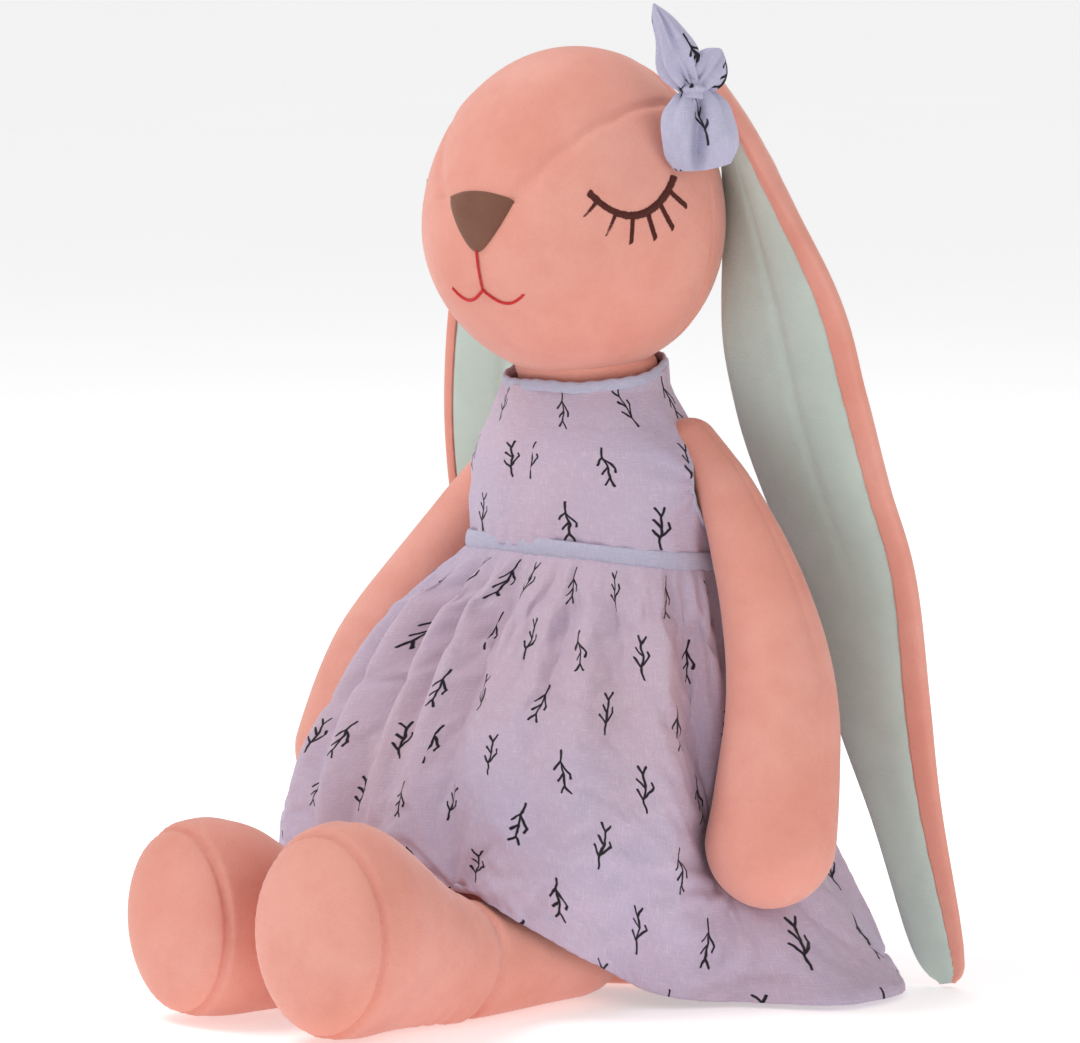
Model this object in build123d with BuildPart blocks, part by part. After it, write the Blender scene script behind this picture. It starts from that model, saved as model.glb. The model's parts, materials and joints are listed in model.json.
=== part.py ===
from build123d import *
import os
from math import cos, radians, sin

# A seated cloth rabbit, in millimetres. It faces -Y, its own left is +X, and the
# origin is the middle of the seat, on the surface it sits on.

# ---- driving dimensions -------------------------------------------------------------
FABRIC = 1.2            # thickness of the plush fabric
COTTON = 1.0            # thickness of the dress fabric
GAP = 0.5               # air between soft pieces that move past each other
BIG = 400               # longer than anything here, for cutting bodies in two

HEAD_CENTRE = (0, -11, 247)
HEAD_RADIUS = 47        # across, from the upright axis
HEAD_HALF_HEIGHT = 54
GUSSET_BASE_Z = 258     # the forehead wedge starts here, just above the nose
GUSSET_NOSE_HALF = 7
GUSSET_EAR_HALF = 27
EAR_SEAM_Y = 2          # the seam over the head from ear to ear

NOSE_RAISE = 1.0
THREAD_RAISE = 0.7
THREAD_WIDTH = 1.6
NOSE_Z = 257            # top corners of the nose
MOUTH_TOP_Z = 237
EYE_TURN = 67           # degrees round the head from the nose to an eye's middle
EYE_Z = 259             # the height of an eye's two ends

# each ear's stations from root to tip: distance out, y, z, half width, turn of the width
LEFT_EAR_STATIONS = [
    (36, 15, 284, 9, 38),
    (43, 21, 262, 15, 26),
    (53, 25, 216, 25, 5),
    (58.5, 31, 186, 27, 0),
    (66, 37, 157, 26, -1),
    (74, 43, 130, 23, -3),
    (80, 47.5, 90, 19, -6),
    (85, 51.5, 55, 12.5, -8),
    (93, 56, 18, 9, -10),
    (96.5, 58, 5, 6, -10),
]
RIGHT_EAR_STATIONS = [
    (36, 15, 284, 9, 38),
    (45, 20, 262, 15, 30),
    (62, 27.5, 212, 24.5, 10),
    (69, 31, 178, 26, 6),
    (73, 34.5, 150, 25, 4),
    (77, 41, 125, 23, 2),
    (82, 47.5, 90, 19, -6),
    (86, 51.5, 55, 12.5, -8),
    (93, 56, 18, 9, -10),
    (96.5, 58, 5, 6, -10),
]
EAR_BACK_BULGE = 6.5
EAR_FRONT_BULGE = 3.0
EAR_SEAM_ALLOWANCE = 1.5
LAYER_GAP = 0.1         # between the ear's loose layers

# trunk sections: height, half width, half depth, and the middle's y
TRUNK_SECTIONS = [
    (0, 33, 28, 8),
    (14, 39, 33, 8),
    (60, 41, 35, 7),
    (110, 40, 34, 5),
    (140, 37.5, 31, 3),
    (165, 34, 27, 0),
    (180, 27, 23, -3),
    (189.5, 22, 20, -5),
]
WAIST_Z = 136
BAND_HEIGHT = 6
NECKLINE_Z = 189
BINDING = 2.5           # depth of the neckline and armhole bindings
ARMHOLE_Z = 167
ARMHOLE_RADIUS = 13.5

# skirt sections: height, half width, the front corner's x and depth, front and back depths
SKIRT_SECTIONS = [
    (WAIST_Z, 43, 31, 27, 37, 39),
    (120, 47, 42, 38, 50, 46),
    (95, 51, 55, 47, 64, 52),
    (52, 56, 66, 60, 78, 63),
    (30, 64, 72, 64, 82, 68),
    (0, 97, 80, 66, 84, 76),
]
SKIRT_THICKNESS = 2
LEG_ARCH_HALF = 46.5    # half width of the gap in the skirt's front hem, over the legs
LEG_ARCH_Z = 37

SHOULDER = (44, 6, 172)
# the arm below the shoulder: x, y, z, radius
ARM_STATIONS = [
    (44, 6, 172, 12.5),
    (61, 6, 146, 13),
    (72, 4, 120, 15.5),
    (79, 0, 95, 17),
    (80.5, -4, 72, 18.5),
    (80, -7, 52, 20.5),
]
RIGHT_ARM_SPREAD = 12   # the right arm lies further out than the left

HIP = (27, -41, 18)
# the leg and foot from the hip forward: y, middle z, half width, half height
LEG_STATIONS = [
    (-41, 18, 17, 17),
    (-75, 18.5, 16.5, 17.5),
    (-105, 20, 16.5, 18.5),
    (-117, 26, 20, 24),
    (-132, 35, 25, 34),
    (-144, 35.5, 25.2, 34.5),
]
SOLE_Y = -144
SOLE_BULGE = 12

BOW_MIDDLE = (49, -10, 286)


def keep(part, name):
    """Label one finished piece and write its STEP file."""
    part.label = name
    export_step(part, f"parts/{name}.step")


def other_side(part):
    """The same piece on the rabbit's right."""
    return mirror(part, about=Plane.YZ)


# ---- head ---------------------------------------------------------------------------
def head_egg(growth):
    """The solid egg of the head, grown outwards by growth."""
    with BuildPart() as egg:
        with BuildSketch(Plane(origin=HEAD_CENTRE, x_dir=(1, 0, 0), z_dir=(0, -1, 0))):
            Ellipse(HEAD_RADIUS + growth, HEAD_HALF_HEIGHT + growth)
            Rectangle(BIG, BIG, align=(Align.MIN, Align.CENTER), mode=Mode.INTERSECT)
        revolve(axis=Axis(HEAD_CENTRE, (0, 0, 1)))
    return egg.part


def head_skin(raise_by):
    """A thin skin over the head, raise_by thick."""
    with BuildPart() as skin:
        add(head_egg(raise_by))
        add(head_egg(0), mode=Mode.SUBTRACT)
    return skin.part


def gusset_outline():
    """The forehead wedge seen from above, from the nose back to the ear seam."""
    with BuildLine() as outline:
        Polyline(
            (-GUSSET_NOSE_HALF, -BIG / 4),
            (GUSSET_NOSE_HALF, -BIG / 4),
            (GUSSET_NOSE_HALF, HEAD_CENTRE[1] - HEAD_RADIUS),
            (GUSSET_EAR_HALF, EAR_SEAM_Y),
            (-GUSSET_EAR_HALF, EAR_SEAM_Y),
            (-GUSSET_NOSE_HALF, HEAD_CENTRE[1] - HEAD_RADIUS),
            close=True,
        )
    return outline.line


with BuildPart() as head_stuffing:
    add(head_egg(-FABRIC))
keep(head_stuffing.part, "head_stuffing")

with BuildPart() as head_shell:
    add(head_egg(0))
    add(head_egg(-FABRIC), mode=Mode.SUBTRACT)

with BuildPart() as head_forehead_gusset:
    add(head_shell.part)
    with BuildSketch(Plane.XY.offset(GUSSET_BASE_Z)):
        with BuildLine():
            add(gusset_outline())
        make_face()
    extrude(amount=BIG, mode=Mode.INTERSECT)
keep(head_forehead_gusset.part, "head_forehead_gusset")

with BuildPart() as head_face_panel:
    add(head_shell.part)
    split(bisect_by=Plane.XZ.offset(-EAR_SEAM_Y), keep=Keep.TOP)
    with BuildSketch(Plane.XY.offset(GUSSET_BASE_Z)):
        with BuildLine():
            add(gusset_outline())
        make_face()
    extrude(amount=BIG, mode=Mode.SUBTRACT)
keep(head_face_panel.part, "head_face_panel")

with BuildPart() as head_back_panel_left:
    add(head_shell.part)
    split(bisect_by=Plane.XZ.offset(-EAR_SEAM_Y), keep=Keep.BOTTOM)
    split(bisect_by=Plane.YZ, keep=Keep.TOP)
keep(head_back_panel_left.part, "head_back_panel_left")
keep(other_side(head_back_panel_left.part), "head_back_panel_right")

# the nose: a rounded triangle with an arched top, sewn over the front of the head
with BuildPart() as nose_patch:
    add(head_skin(NOSE_RAISE))
    with BuildSketch(Plane.XZ.offset(BIG / 4)) as nose_outline:
        with BuildLine():
            ThreePointArc((-12, NOSE_Z), (0, NOSE_Z + 3.5), (12, NOSE_Z))
            ThreePointArc((12, NOSE_Z), (8.5, NOSE_Z - 9), (0, NOSE_Z - 15))
            ThreePointArc((0, NOSE_Z - 15), (-8.5, NOSE_Z - 9), (-12, NOSE_Z))
        make_face()
        fillet(nose_outline.vertices(), radius=1.5)
    extrude(amount=-BIG / 4 - HEAD_CENTRE[1], mode=Mode.INTERSECT)
keep(nose_patch.part, "nose_patch")

# the mouth: an upright stitch line that splits into two upturned curves
with BuildPart() as mouth_stitching:
    add(head_skin(THREAD_RAISE))
    with BuildSketch(Plane.XZ.offset(BIG / 4)):
        with BuildLine() as mouth_line:
            Line((0, MOUTH_TOP_Z), (0, MOUTH_TOP_Z - 12))
            ThreePointArc((0, MOUTH_TOP_Z - 12), (6, MOUTH_TOP_Z - 16), (14, MOUTH_TOP_Z - 12.5))
            ThreePointArc((0, MOUTH_TOP_Z - 12), (-6, MOUTH_TOP_Z - 16), (-14, MOUTH_TOP_Z - 12.5))
        trace(line_width=THREAD_WIDTH)
    extrude(amount=-BIG / 4 - HEAD_CENTRE[1], mode=Mode.INTERSECT)
keep(mouth_stitching.part, "mouth_stitching")

# a closed eye: one long arc with six lashes below it, on the side of the head
EYE_OUT = (sin(radians(EYE_TURN)), -cos(radians(EYE_TURN)), 0)
EYE_ALONG = (cos(radians(EYE_TURN)), sin(radians(EYE_TURN)), 0)
EYE_ORIGIN = (
    HEAD_CENTRE[0] + EYE_OUT[0] * BIG / 4,
    HEAD_CENTRE[1] + EYE_OUT[1] * BIG / 4,
    EYE_Z,
)
LASHES = [(-12, -5, -5), (-7.5, -8, -3.5), (-2.5, -9.3, -0.5), (3, -9, 2.5), (8, -7, 4), (12, -4, 5)]
LASH_LENGTH = 7.5
with BuildPart() as left_eye_stitching:
    add(head_skin(THREAD_RAISE))
    with BuildSketch(Plane(origin=EYE_ORIGIN, x_dir=EYE_ALONG, z_dir=EYE_OUT)):
        with BuildLine():
            ThreePointArc((-15, 0), (0, -9.5), (15, 3))
            for x, y, lean in LASHES:
                Line((x, y), (x + lean, y - LASH_LENGTH))
        trace(line_width=THREAD_WIDTH)
    extrude(amount=-BIG / 4, mode=Mode.INTERSECT)
keep(left_eye_stitching.part, "left_eye_stitching")
keep(other_side(left_eye_stitching.part), "right_eye_stitching")


# ---- ears ---------------------------------------------------------------------------
def ear_plane(stations, number):
    """The plane of one ear section: x along the ear's width, y towards its lining."""
    x, y, z, _, turn = stations[number]
    before = Vector(*stations[max(number - 1, 0)][:3])
    after = Vector(*stations[min(number + 1, len(stations) - 1)][:3])
    along = (after - before).normalized()
    width = Vector(cos(radians(turn)), -sin(radians(turn)), 0)
    return Plane(origin=(x, y, z), x_dir=width - along * width.dot(along), z_dir=along)


def ear_layer(stations, inner_bulge, outer_bulge, inset=0):
    """One layer of a left ear, between two bulges (lining side is +), narrower by inset."""
    with BuildPart() as layer:
        for number, (_, _, _, full_half, _) in enumerate(stations):
            half = full_half - inset
            taper = min(1, full_half / 16)
            with BuildSketch(ear_plane(stations, number)):
                with BuildLine():
                    ThreePointArc((-half, 0), (0, outer_bulge * taper), (half, 0))
                    ThreePointArc((half, 0), (0, inner_bulge * taper), (-half, 0))
                make_face()
        loft()
    return layer.part


EAR_LAYERS = {
    "ear_back": (-EAR_BACK_BULGE + 2 * FABRIC, -EAR_BACK_BULGE, 0),
    "ear_filling": (
        EAR_FRONT_BULGE - FABRIC - LAYER_GAP,
        -EAR_BACK_BULGE + 2 * FABRIC + LAYER_GAP,
        EAR_SEAM_ALLOWANCE,
    ),
    "ear_lining": (EAR_FRONT_BULGE - FABRIC, EAR_FRONT_BULGE, 0),
}
for name, layer_shape in EAR_LAYERS.items():
    keep(ear_layer(LEFT_EAR_STATIONS, *layer_shape), f"{name}_left")
    keep(other_side(ear_layer(RIGHT_EAR_STATIONS, *layer_shape)), f"{name}_right")


# ---- trunk --------------------------------------------------------------------------
def plain_trunk(growth):
    """The trunk as a smooth loft through level ovals, grown outwards by growth."""
    with BuildPart() as body:
        for height, half_width, half_depth, middle in TRUNK_SECTIONS:
            with BuildSketch(Plane.XY.offset(height)):
                with Locations((0, middle)):
                    Ellipse(half_width + growth, half_depth + growth)
        loft()
    return body.part


def trunk(growth):
    """The trunk with hollows for the arms' rounded ends, grown outwards by growth."""
    with BuildPart() as body:
        add(plain_trunk(growth))
        with Locations(SHOULDER, (-SHOULDER[0], SHOULDER[1], SHOULDER[2])):
            Sphere(ARM_STATIONS[0][3] + GAP + COTTON - growth, mode=Mode.SUBTRACT)
    return body.part


with BuildPart() as trunk_shell:
    add(trunk(0))
    add(trunk(-FABRIC), mode=Mode.SUBTRACT)
    split(bisect_by=Plane.XY.offset(FABRIC), keep=Keep.TOP)
    split(bisect_by=Plane.XY.offset(TRUNK_SECTIONS[-1][0] - FABRIC), keep=Keep.BOTTOM)

with BuildPart() as body_stuffing:
    add(trunk(-FABRIC))
    split(bisect_by=Plane.XY.offset(FABRIC), keep=Keep.TOP)
keep(body_stuffing.part, "body_stuffing")

with BuildPart() as body_front_panel:
    add(trunk_shell.part)
    split(bisect_by=Plane.XZ, keep=Keep.TOP)
keep(body_front_panel.part, "body_front_panel")

with BuildPart() as body_back_panel:
    add(trunk_shell.part)
    split(bisect_by=Plane.XZ, keep=Keep.BOTTOM)
keep(body_back_panel.part, "body_back_panel")

with BuildPart() as body_seat_panel:
    add(trunk(0))
    split(bisect_by=Plane.XY.offset(FABRIC), keep=Keep.BOTTOM)
keep(body_seat_panel.part, "body_seat_panel")


# ---- dress --------------------------------------------------------------------------
def band(low, high, inner_growth, outer_growth):
    """A ring of cloth round the trunk, between two heights and two distances from it."""
    with BuildPart() as ring:
        add(plain_trunk(outer_growth))
        add(plain_trunk(inner_growth), mode=Mode.SUBTRACT)
        split(bisect_by=Plane.XY.offset(low), keep=Keep.TOP)
        split(bisect_by=Plane.XY.offset(high), keep=Keep.BOTTOM)
    return ring.part


ARMHOLE_PLANE = Plane(origin=(0, SHOULDER[1], ARMHOLE_Z), x_dir=(0, 1, 0), z_dir=(1, 0, 0))
BODICE_TOP = NECKLINE_Z - BINDING
BODICE_BOTTOM = WAIST_Z + BAND_HEIGHT
BODICE_OUT = GAP + COTTON

with BuildPart() as bodice:
    add(band(BODICE_BOTTOM, BODICE_TOP, GAP, BODICE_OUT))
    with BuildSketch(ARMHOLE_PLANE):
        Circle(ARMHOLE_RADIUS + BINDING)
    extrude(amount=BIG, both=True, mode=Mode.SUBTRACT)

with BuildPart() as bodice_front:
    add(bodice.part)
    split(bisect_by=Plane.XZ.offset(-SHOULDER[1]), keep=Keep.TOP)
keep(bodice_front.part, "bodice_front")

with BuildPart() as bodice_back_left:
    add(bodice.part)
    split(bisect_by=Plane.XZ.offset(-SHOULDER[1]), keep=Keep.BOTTOM)
    split(bisect_by=Plane.YZ, keep=Keep.TOP)
keep(bodice_back_left.part, "bodice_back_left")
keep(other_side(bodice_back_left.part), "bodice_back_right")

with BuildPart() as neck_binding:
    add(band(BODICE_TOP, NECKLINE_Z, GAP, BODICE_OUT + COTTON / 2))
keep(neck_binding.part, "neck_binding")

with BuildPart() as armhole_binding_left:
    add(band(BODICE_BOTTOM, BODICE_TOP, GAP, BODICE_OUT + COTTON / 2))
    with BuildSketch(ARMHOLE_PLANE):
        Circle(ARMHOLE_RADIUS + BINDING)
        Circle(ARMHOLE_RADIUS, mode=Mode.SUBTRACT)
    extrude(amount=BIG, mode=Mode.INTERSECT)
keep(armhole_binding_left.part, "armhole_binding_left")
keep(other_side(armhole_binding_left.part), "armhole_binding_right")

with BuildPart() as waist_band:
    add(band(WAIST_Z, BODICE_BOTTOM, GAP, BODICE_OUT + COTTON))
keep(waist_band.part, "waist_band")

def skirt_cone(inset):
    """The flared skirt as a solid: narrow where the arms hang, full over the lap."""
    with BuildPart() as cone:
        for height, side, corner_x, corner_depth, front, back in SKIRT_SECTIONS:
            back_corner = (0.74 * side - inset, 0.72 * back - inset)
            with BuildSketch(Plane.XY.offset(height)):
                with BuildLine():
                    Spline(
                        (side - inset, 0),
                        back_corner,
                        (0, back - inset),
                        (-back_corner[0], back_corner[1]),
                        (-side + inset, 0),
                        (-corner_x + inset, -corner_depth + inset),
                        (0, -front + inset),
                        (corner_x - inset, -corner_depth + inset),
                        periodic=True,
                    )
                make_face()
        loft(ruled=True)
    return cone.part


# the skirt flares from the waist to the floor, with its front hem lifted by the legs
with BuildPart() as skirt:
    add(skirt_cone(0))
    add(skirt_cone(SKIRT_THICKNESS), mode=Mode.SUBTRACT)
    with BuildSketch(Plane.XY):
        Rectangle(2 * LEG_ARCH_HALF, BIG, align=(Align.CENTER, Align.MAX))
    extrude(amount=LEG_ARCH_Z, mode=Mode.SUBTRACT)

with BuildPart() as skirt_front:
    add(skirt.part)
    split(bisect_by=Plane.XZ, keep=Keep.TOP)
keep(skirt_front.part, "skirt_front")

with BuildPart() as skirt_back:
    add(skirt.part)
    split(bisect_by=Plane.XZ, keep=Keep.BOTTOM)
keep(skirt_back.part, "skirt_back")


# ---- arms ---------------------------------------------------------------------------
def arm_solid(growth):
    """The left arm: a tube through its stations, with a ball at the shoulder and the paw."""
    points = [Vector(*station[:3]) for station in ARM_STATIONS]
    with BuildPart() as arm:
        for number, (x, y, z, radius) in enumerate(ARM_STATIONS):
            before = points[max(number - 1, 0)]
            after = points[min(number + 1, len(points) - 1)]
            with BuildSketch(Plane(origin=(x, y, z), x_dir=(0, 1, 0), z_dir=before - after)):
                Circle(radius + growth)
        loft(ruled=True)
        for x, y, z, radius in (ARM_STATIONS[0], ARM_STATIONS[-1]):
            with Locations((x, y, z)):
                Sphere(radius + growth)
    return arm.part


ARM_SEAM = Plane(
    origin=SHOULDER,
    z_dir=(SHOULDER[1] - ARM_STATIONS[-1][1], ARM_STATIONS[-1][0] - SHOULDER[0], 0),
)


def keep_arm(part, name):
    """Write an arm piece for the left, and for the right arm, which is spread further."""
    keep(part, f"{name}_left")
    shoulder_axis = Axis((-SHOULDER[0], SHOULDER[1], SHOULDER[2]), (0, 1, 0))
    keep(other_side(part).rotate(shoulder_axis, RIGHT_ARM_SPREAD), f"{name}_right")


with BuildPart() as arm_stuffing:
    add(arm_solid(-FABRIC))
keep_arm(arm_stuffing.part, "arm_stuffing")

with BuildPart() as arm_back_panel:
    add(arm_solid(0))
    add(arm_solid(-FABRIC), mode=Mode.SUBTRACT)
    split(bisect_by=ARM_SEAM, keep=Keep.TOP)
keep_arm(arm_back_panel.part, "arm_back_panel")

with BuildPart() as arm_front_panel:
    add(arm_solid(0))
    add(arm_solid(-FABRIC), mode=Mode.SUBTRACT)
    split(bisect_by=ARM_SEAM, keep=Keep.BOTTOM)
keep_arm(arm_front_panel.part, "arm_front_panel")


# ---- legs ---------------------------------------------------------------------------
def leg_solid(growth):
    """The left leg: a tube from the hip to the ankle that swells into an upright foot."""
    with BuildPart() as leg:
        for y, middle_z, half_width, half_height in LEG_STATIONS:
            with BuildSketch(Plane(origin=(HIP[0], y, middle_z), x_dir=(1, 0, 0), z_dir=(0, -1, 0))):
                Ellipse(half_width + growth, half_height + growth)
        loft(ruled=True)
        with Locations(HIP):
            Sphere(LEG_STATIONS[0][2] + growth)
        split(bisect_by=Plane.XZ.offset(-SOLE_Y), keep=Keep.BOTTOM)
    return leg.part


with BuildPart() as leg_stuffing:
    add(leg_solid(-FABRIC))
keep(leg_stuffing.part, "leg_stuffing_left")
keep(other_side(leg_stuffing.part), "leg_stuffing_right")

with BuildPart() as leg_shell:
    add(leg_solid(0))
    add(leg_solid(-FABRIC), mode=Mode.SUBTRACT)

with BuildPart() as leg_outer_panel:
    add(leg_shell.part)
    split(bisect_by=Plane.YZ.offset(HIP[0]), keep=Keep.TOP)
keep(leg_outer_panel.part, "leg_outer_panel_left")
keep(other_side(leg_outer_panel.part), "leg_outer_panel_right")

with BuildPart() as leg_inner_panel:
    add(leg_shell.part)
    split(bisect_by=Plane.YZ.offset(HIP[0]), keep=Keep.BOTTOM)
keep(leg_inner_panel.part, "leg_inner_panel_left")
keep(other_side(leg_inner_panel.part), "leg_inner_panel_right")

# the sole: a crowned oval pad sewn over the front of the foot
_, SOLE_Z, SOLE_HALF_WIDTH, SOLE_HALF_HEIGHT = LEG_STATIONS[-1]
with BuildPart() as foot_sole:
    for step in (0, 0.4, 0.75, 1):
        shrink = (1 - step ** 2) ** 0.5 if step < 1 else 0.3
        with BuildSketch(Plane.XZ.offset(-SOLE_Y + SOLE_BULGE * step)):
            with Locations((HIP[0], SOLE_Z)):
                Ellipse(SOLE_HALF_WIDTH * shrink, SOLE_HALF_HEIGHT * shrink)
    loft(ruled=True)
keep(foot_sole.part, "foot_sole_left")
keep(other_side(foot_sole.part), "foot_sole_right")


# ---- bow ----------------------------------------------------------------------------
# local x runs across the bow towards the rabbit's back left, local y is up
BOW_PLANE = Plane(origin=BOW_MIDDLE, x_dir=(0.6, 0.8, 0), z_dir=(0.8, -0.6, 0))
KNOT_RADIUS = 5
BOW_THICK = 6


def bow_loop(name, points):
    """A puffed loop of folded cotton, from the knot outwards."""
    with BuildPart() as loop:
        with BuildSketch(BOW_PLANE.offset(-BOW_THICK / 2)) as outline:
            with BuildLine():
                Polyline(*points, close=True)
            make_face()
            fillet(outline.vertices(), radius=1.5)
        extrude(amount=BOW_THICK)
        with Locations(BOW_PLANE):
            Sphere(KNOT_RADIUS + LAYER_GAP, mode=Mode.SUBTRACT)
        add(head_egg(GAP), mode=Mode.SUBTRACT)
    keep(loop.part, name)


bow_loop("bow_upper_loop", [(-3, 2), (-12, 26), (-16, 12)])
bow_loop("bow_tail", [(-1, 3.5), (-9, 24), (9, 12), (2, 3)])
bow_loop("bow_lower_loop", [(-2, -3), (-12, -14), (-2, -24), (10, -20), (12, -10), (3, -2)])

with BuildPart() as bow_knot:
    with Locations(BOW_PLANE):
        Sphere(KNOT_RADIUS)
keep(bow_knot.part, "bow_knot")
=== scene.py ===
import json
import math

import bpy
import numpy as np
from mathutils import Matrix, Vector


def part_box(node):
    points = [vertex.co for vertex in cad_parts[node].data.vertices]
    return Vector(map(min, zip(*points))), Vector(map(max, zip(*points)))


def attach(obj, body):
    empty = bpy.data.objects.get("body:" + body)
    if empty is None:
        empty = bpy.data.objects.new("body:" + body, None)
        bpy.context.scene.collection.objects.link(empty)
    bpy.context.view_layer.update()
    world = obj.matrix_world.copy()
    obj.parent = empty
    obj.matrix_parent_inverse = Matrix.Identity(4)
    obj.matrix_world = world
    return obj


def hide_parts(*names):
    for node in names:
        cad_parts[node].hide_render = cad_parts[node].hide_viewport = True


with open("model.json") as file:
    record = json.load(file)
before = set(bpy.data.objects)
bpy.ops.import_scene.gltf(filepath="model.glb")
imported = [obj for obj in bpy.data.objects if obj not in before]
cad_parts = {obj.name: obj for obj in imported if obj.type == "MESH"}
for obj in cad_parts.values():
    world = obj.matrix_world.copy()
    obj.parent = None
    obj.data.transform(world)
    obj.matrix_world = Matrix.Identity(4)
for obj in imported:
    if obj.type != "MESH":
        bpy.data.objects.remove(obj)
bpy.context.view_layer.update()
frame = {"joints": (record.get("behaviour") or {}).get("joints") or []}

MM = 0.001
JOINTS = {joint["name"]: joint for joint in frame["joints"]}


# ---- numbers and meshes -------------------------------------------------------------
def smooth(rows, count):
    """A smooth curve through rows of numbers, as count rows (Catmull-Rom)."""
    rows = np.asarray(rows, float)
    padded = np.vstack([2 * rows[0] - rows[1], rows, 2 * rows[-1] - rows[-2]])
    place = np.linspace(0, len(rows) - 1, count)
    start = np.minimum(place.astype(int), len(rows) - 2)
    t = (place - start)[:, None]
    a, b, c, d = (padded[start + k] for k in range(4))
    return 0.5 * (2 * b + (c - a) * t + (2 * a - 5 * b + 4 * c - d) * t**2 + (3 * b - a - 3 * c + d) * t**3)


def unit(vectors):
    """Each row at length one."""
    vectors = np.asarray(vectors, float)
    return vectors / np.maximum(np.linalg.norm(vectors, axis=-1, keepdims=True), 1e-12)


def hump(distance, width):
    """1 where distance is 0, falling smoothly away over width."""
    return np.exp(-((distance / width) ** 2))


def around(count):
    """Angles spaced evenly round a full turn."""
    return np.arange(count) / count * 2 * math.pi


def ripple(points, scale, seed):
    """A soft, repeatable unevenness from -1 to 1 at each point."""
    random = np.random.default_rng(seed)
    total = np.zeros(points.shape[:-1])
    for _ in range(5):
        direction = unit(random.normal(size=3)) * scale * random.uniform(0.7, 1.6)
        total += np.sin(points @ direction + random.uniform(0, 6.28))
    return total / 3


def mesh_piece(name, points, faces, loop_uv, materials, face_material=None):
    """A mesh object with UVs and smooth faces."""
    mesh = bpy.data.meshes.new(name)
    mesh.from_pydata(np.asarray(points).reshape(-1, 3).tolist(), [], faces)
    if loop_uv is not None:
        layer = mesh.uv_layers.new(name="cloth")
        layer.data.foreach_set("uv", np.asarray(loop_uv, np.float32).ravel())
    for material in materials:
        mesh.materials.append(material)
    if face_material is not None:
        mesh.polygons.foreach_set("material_index", face_material)
    mesh.polygons.foreach_set("use_smooth", [True] * len(mesh.polygons))
    mesh.update()
    piece = bpy.data.objects.new(name, mesh)
    bpy.context.collection.objects.link(piece)
    return piece


def grid_piece(name, points, materials, wrap=False, caps=False, keep=None):
    """A grid of rows and columns as a mesh. wrap joins the last column to the first, and caps
    closes the first and last rows. keep says which quads to make."""
    rows, columns = points.shape[:2]
    uv = metric_uv(points, wrap)
    faces, corners = [], []
    for i in range(rows - 1):
        for j in range(columns if wrap else columns - 1):
            if keep is not None and not keep[i, j]:
                continue
            k = (j + 1) % columns
            faces.append((i * columns + j, i * columns + k, (i + 1) * columns + k, (i + 1) * columns + j))
            corners += [uv[i, j], uv[i, j + 1], uv[i + 1, j + 1], uv[i + 1, j]]
    flat = points.reshape(-1, 3)
    if caps:
        for row, order in ((0, -1), (rows - 1, 1)):
            ring = list(range(row * columns, (row + 1) * columns))[::order]
            flat = np.vstack([flat, points[row].mean(axis=0)])
            middle = len(flat) - 1
            for j in range(columns):
                faces.append((ring[j], ring[(j + 1) % columns], middle))
                corners += [uv[row, 0]] * 3
    return mesh_piece(name, flat, faces, corners, materials)


def metric_uv(points, wrap):
    """UVs in metres along a grid, from the mean length of its rows and columns. A wrapped grid has
    one more column of them."""
    closed = np.concatenate([points, points[:, :1]], axis=1) if wrap else points
    across = np.linalg.norm(np.diff(closed, axis=1), axis=2).mean(axis=0)
    down = np.linalg.norm(np.diff(points, axis=0), axis=2).mean(axis=1)
    u = np.concatenate([[0], np.cumsum(across)])
    v = np.concatenate([[0], np.cumsum(down)])
    return np.stack(np.meshgrid(u, v), axis=2)


def tube(centres, side, radius_side, radius_up, columns, power=2.0):
    """Rings round a line of centres. side is the ring's first axis; power above 2 squares it off."""
    along = unit(np.gradient(centres, axis=0))
    side = unit(side - along * np.sum(side * along, axis=1, keepdims=True))
    up = np.cross(along, side)
    angle = around(columns)
    c = np.sign(np.cos(angle)) * np.abs(np.cos(angle)) ** (2 / power)
    s = np.sign(np.sin(angle)) * np.abs(np.sin(angle)) ** (2 / power)
    return (
        centres[:, None]
        + side[:, None] * (c[None] * radius_side[:, None])[..., None]
        + up[:, None] * (s[None] * radius_up[:, None])[..., None]
    )


def rounded_ends(stations, steps):
    """Adds rows to stations (x, y, z, radius) so that a tube through them has domed ends."""
    first, last = stations[0], stations[-1]
    out = unit(stations[0, :3] - stations[1, :3])
    on = unit(stations[-1, :3] - stations[-2, :3])
    angle = np.linspace(math.radians(88), math.radians(90 / steps), steps)[:, None]
    head = np.hstack([first[:3] + out * first[3] * np.sin(angle), first[3] * np.cos(angle)])
    tail = np.hstack([last[:3] + on * last[3] * np.sin(angle), last[3] * np.cos(angle)])
    return np.vstack([head, stations, tail[::-1]])


def modify(piece, kind, **settings):
    """Adds a modifier with these settings and applies it."""
    modifier = piece.modifiers.new(kind.title(), kind)
    for key, value in settings.items():
        setattr(modifier, key, value)
    depsgraph = bpy.context.evaluated_depsgraph_get()
    mesh = bpy.data.meshes.new_from_object(piece.evaluated_get(depsgraph))
    piece.modifiers.clear()
    old = piece.data
    piece.data = mesh
    mesh.name = old.name
    bpy.data.meshes.remove(old)


def place(piece, body, slot, *nodes):
    """Rides the piece on its body and hides the CAD nodes that it stands for; its slot is not used."""
    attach(piece, body)
    if nodes:
        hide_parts(*nodes)
    return piece


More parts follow.
